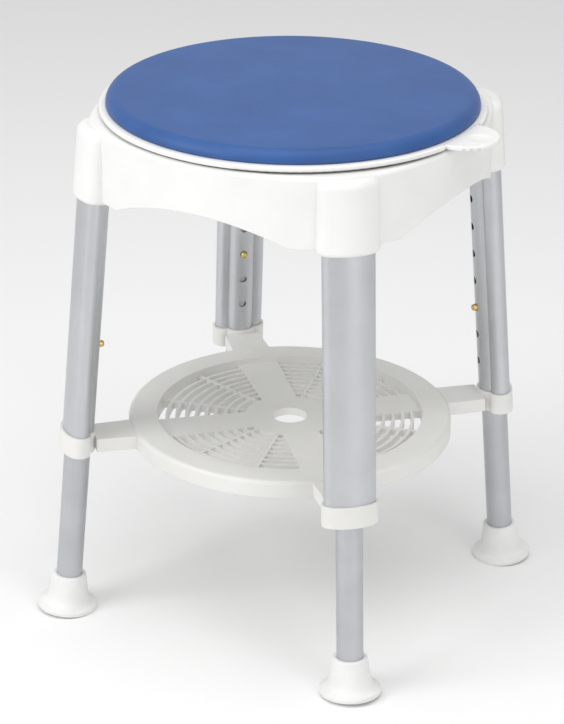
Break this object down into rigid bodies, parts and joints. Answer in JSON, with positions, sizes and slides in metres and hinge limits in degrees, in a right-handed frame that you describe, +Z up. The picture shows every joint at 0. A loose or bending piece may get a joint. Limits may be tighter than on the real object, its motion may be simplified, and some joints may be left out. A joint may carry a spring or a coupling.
{
  "type": "shower stool",
  "caption": "Round shower stool with a turning padded seat, four sliding splayed legs with snap buttons and rubber feet, and a slatted lower tray.",
  "frame": {"origin": "on the floor, under the seat's turning axis", "axes": "+Z up along the seat's axis; the four legs stand on the diagonals of X and Y; +X points at the lock lever"},
  "size_m": [0.4036, 0.3816, 0.5236],
  "materials": {
    "satin_aluminium": "satin anodised extrusion",
    "tube_aluminium": "satin anodised tube",
    "brass": "polished brass",
    "spring_steel": "plain spring steel",
    "zinc_steel": "zinc plated",
    "white_rubber": "matt white rubber",
    "blue_foam": "soft skinned foam, fine grain",
    "board": "moulded board inside the pad",
    "tray_plastic": "satin moulded plastic",
    "acetal": "smooth low-friction plastic",
    "white_plastic": "semi-gloss moulded plastic"
  },
  "bodies": {
    "frame": {"seat_frame": "white_plastic", "glide_ring": "acetal", "socket_screws": "zinc_steel", "collar_screws": "zinc_steel", "leg_bushes": "acetal", "tray": "tray_plastic", "upper_leg_front_right": "satin_aluminium", "upper_leg_back_right": "satin_aluminium", "upper_leg_back_left": "satin_aluminium", "upper_leg_front_left": "satin_aluminium"},
    "seat": {"seat_base": "white_plastic", "seat_pad": "blue_foam", "pad_board": "board", "pad_screws": "zinc_steel", "pivot_bolt": "zinc_steel", "pivot_washer": "zinc_steel", "pivot_nut": "zinc_steel", "lever_screw": "zinc_steel", "lever_spring": "spring_steel"},
    "lever": {"lock_lever": "white_plastic"},
    "leg_front_right": {"lower_leg_front_right": "tube_aluminium", "foot_front_right": "white_rubber", "foot_washer_front_right": "zinc_steel", "button_clip_front_right": "spring_steel"},
    "button_front_right": {"snap_button_front_right": "brass"},
    "leg_back_right": {"lower_leg_back_right": "tube_aluminium", "foot_back_right": "white_rubber", "foot_washer_back_right": "zinc_steel", "button_clip_back_right": "spring_steel"},
    "button_back_right": {"snap_button_back_right": "brass"},
    "leg_back_left": {"lower_leg_back_left": "tube_aluminium", "foot_back_left": "white_rubber", "foot_washer_back_left": "zinc_steel", "button_clip_back_left": "spring_steel"},
    "button_back_left": {"snap_button_back_left": "brass"},
    "leg_front_left": {"lower_leg_front_left": "tube_aluminium", "foot_front_left": "white_rubber", "foot_washer_front_left": "zinc_steel", "button_clip_front_left": "spring_steel"},
    "button_front_left": {"snap_button_front_left": "brass"}
  },
  "joints": [
    {"name": "seat_turn", "type": "hinge", "parent": "frame", "child": "seat", "pos_m": [0, 0, 0.5], "axis": [0, 0, 1], "continuous": true},
    {"name": "lever_pull", "type": "slide", "parent": "seat", "child": "lever", "axis": [1, 0, 0], "range_m": [0, 0.008], "stiffness_N_per_m": 600, "springref_m": -0.004, "deforming": ["lever_spring"]},
    {"name": "height_front_right", "type": "slide", "parent": "frame", "child": "leg_front_right", "axis": [-0.0586, 0.0586, 0.9966], "range_m": [-0.058, 0.116]},
    {"name": "button_press_front_right", "type": "slide", "parent": "leg_front_right", "child": "button_front_right", "axis": [0.7047, -0.7047, 0.0829], "range_m": [0, 0.007], "stiffness_N_per_m": 400, "springref_m": -0.003, "deforming": ["button_clip_front_right"]},
    {"name": "height_back_right", "type": "slide", "parent": "frame", "child": "leg_back_right", "axis": [-0.0586, -0.0586, 0.9966], "range_m": [-0.058, 0.116]},
    {"name": "button_press_back_right", "type": "slide", "parent": "leg_back_right", "child": "button_back_right", "axis": [0.7047, 0.7047, 0.0829], "range_m": [0, 0.007], "stiffness_N_per_m": 400, "springref_m": -0.003, "deforming": ["button_clip_back_right"]},
    {"name": "height_back_left", "type": "slide", "parent": "frame", "child": "leg_back_left", "axis": [0.0586, -0.0586, 0.9966], "range_m": [-0.058, 0.116]},
    {"name": "button_press_back_left", "type": "slide", "parent": "leg_back_left", "child": "button_back_left", "axis": [-0.7047, 0.7047, 0.0829], "range_m": [0, 0.007], "stiffness_N_per_m": 400, "springref_m": -0.003, "deforming": ["button_clip_back_left"]},
    {"name": "height_front_left", "type": "slide", "parent": "frame", "child": "leg_front_left", "axis": [0.0586, 0.0586, 0.9966], "range_m": [-0.058, 0.116]},
    {"name": "button_press_front_left", "type": "slide", "parent": "leg_front_left", "child": "button_front_left", "axis": [-0.7047, -0.7047, 0.0829], "range_m": [0, 0.007], "stiffness_N_per_m": 400, "springref_m": -0.003, "deforming": ["button_clip_front_left"]}
  ]
}
